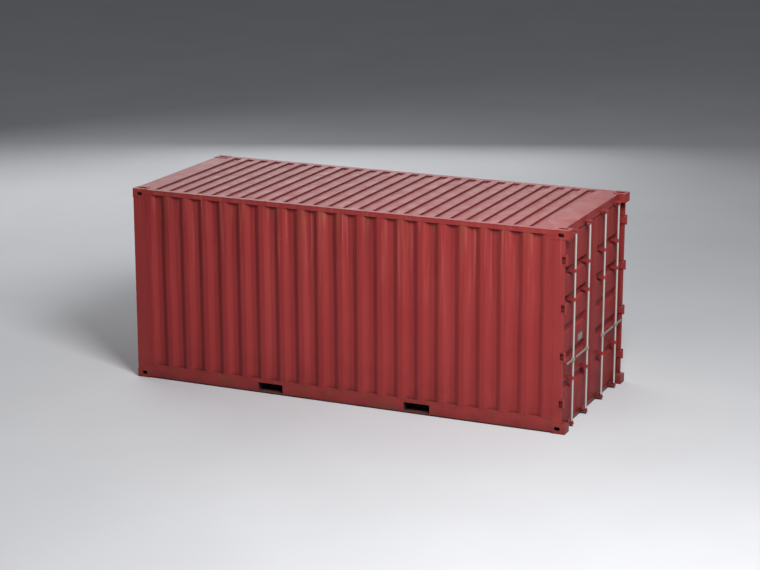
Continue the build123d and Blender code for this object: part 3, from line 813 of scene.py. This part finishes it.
def door_lip(side, sign):
    """Rubber lip in the gap round one leaf."""
    low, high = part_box("door_frame_" + side)
    reach = sorted(abs(c.y) for c in (low, high))
    casting = max(lumps("bottom_corner_castings"), key=lambda c: c[1].x + sign * c[1].y)
    notch_y = min(abs(c.y) for c in casting) - CORNER_GAP
    notch_z = casting[1].z + CORNER_GAP
    corners = [(reach[0], low.z), (reach[0], high.z), (reach[1], high.z), (reach[1], notch_z),
               (notch_y, notch_z), (notch_y, low.z)]
    flat = [Vector(c) for c in corners]
    ways = [(b - a).normalized() for a, b in zip(flat, flat[1:] + flat[:1])]
    lefts = [Vector((-w.y, w.x)) for w in ways]
    section = ((high.x - LIP_FRONT, 0.0), (high.x - LIP_FRONT - LIP_TAPER, LIP), (high.x - LIP_BACK, LIP),
               (high.x - LIP_BACK, 0.0))
    rows = []
    for corner, before, after in zip(flat, lefts[-1:] + lefts, lefts):
        spread = [(x, corner + (before + after) * off) for x, off in section]
        rows.append([Vector((x, sign * p.x, p.y)) for x, p in spread])
    shape = Shape()
    shape.skin(rows, closed=True)
    shape.place("door_lip_" + side, "rubber", "door_" + side, "rubber")


def data_plate():
    """Bare plate with a raised rim and a rivet in each corner."""
    middle = Vector((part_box("door_panel_left")[1].x, PLATE_ACROSS, PLATE_LEVEL))
    half = Vector((0, PLATE_WIDE / 2, PLATE_HIGH / 2))
    low = middle - half
    high = middle + half + OUT * PLATE_THICK
    front = high.x + PLATE_THICK
    shape = Shape()
    shape.slab(low, high)
    for y in (low.y, high.y - PLATE_RIM):
        shape.slab(Vector((high.x, y, low.z)), Vector((front, y + PLATE_RIM, high.z)))
    for z in (low.z, high.z - PLATE_RIM):
        start = Vector((high.x, low.y + PLATE_RIM, z))
        shape.slab(start, Vector((front, high.y - PLATE_RIM, z + PLATE_RIM)))
    for y in (low.y + RIVET_IN, high.y - RIVET_IN):
        for z in (low.z + RIVET_IN, high.z - RIVET_IN):
            shape.turned(Vector((high.x, y, z)), OUT, DOME, RIVET)
    shape.place("data_plate", "plate", "door_left", "galvanised")


def floor_screws():
    """Rows of screw heads over the joists."""
    low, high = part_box("floor")
    start = low.y + SCREW_EDGE
    step = (high.y - low.y - 2 * SCREW_EDGE) / (SCREW_ROWS - 1)
    shape = Shape()
    for joist in lumps("floor_joists"):
        x = (joist[0].x + joist[1].x) / 2
        for row in range(SCREW_ROWS):
            shape.turned(Vector((x, start + row * step, high.z)), UP, DISC, SCREW, SCREW_SIDES)
    shape.place("floor_screws", "zinc", "container", "galvanised")


def details():
    """All the small pieces."""
    wall_welds()
    frame_welds()
    roof_welds()
    header_strip()
    keeper_details()
    for side, sign in SIDES:
        hinge_details(side, sign)
        rod_details(side)
        door_lip(side, sign)
    data_plate()
    floor_screws()


def lamp(name, at, towards, size, power):
    """A square soft lamp aimed at a point."""
    data = bpy.data.lights.new(name, "AREA")
    data.size = size
    data.energy = power
    obj = bpy.data.objects.new(name, data)
    obj.location = at
    obj.rotation_euler = (Vector(towards) - Vector(at)).to_track_quat("-Z", "Y").to_euler()
    bpy.context.scene.collection.objects.link(obj)


def studio():
    """Pale floor, soft lamps and a plain world."""
    mesh = bpy.data.meshes.new("studio_floor")
    corners = [(x * FLOOR_REACH, y * FLOOR_REACH, 0) for x, y in ((-1, -1), (1, -1), (1, 1), (-1, 1))]
    mesh.from_pydata(corners, [], [range(len(corners))])
    ground = bpy.data.objects.new("studio_floor", mesh)
    ground.data.materials.append(MATERIALS["studio"])
    bpy.context.scene.collection.objects.link(ground)
    world = bpy.data.worlds.new("studio_world")
    world.use_nodes = True
    back = world.node_tree.nodes["Background"]
    back.inputs["Color"].default_value = SKY
    back.inputs["Strength"].default_value = SKY_STRENGTH
    bpy.context.scene.world = world
    for settings in LAMPS:
        lamp(*settings)


def camera():
    """The photograph's point of view."""
    data = bpy.data.cameras.new("photo_camera")
    data.lens = LENS_MM
    data.sensor_width = SENSOR_MM
    data.clip_end = VIEW_DEPTH
    obj = bpy.data.objects.new("photo_camera", data)
    obj.location = CAMERA_AT
    obj.rotation_euler = (math.radians(90 - CAMERA_ELEVATION), 0.0, math.radians(CAMERA_AZIMUTH))
    bpy.context.scene.collection.objects.link(obj)
    bpy.context.scene.camera = obj


details()
studio()
camera()
bpy.context.scene.view_settings.view_transform = "Standard"
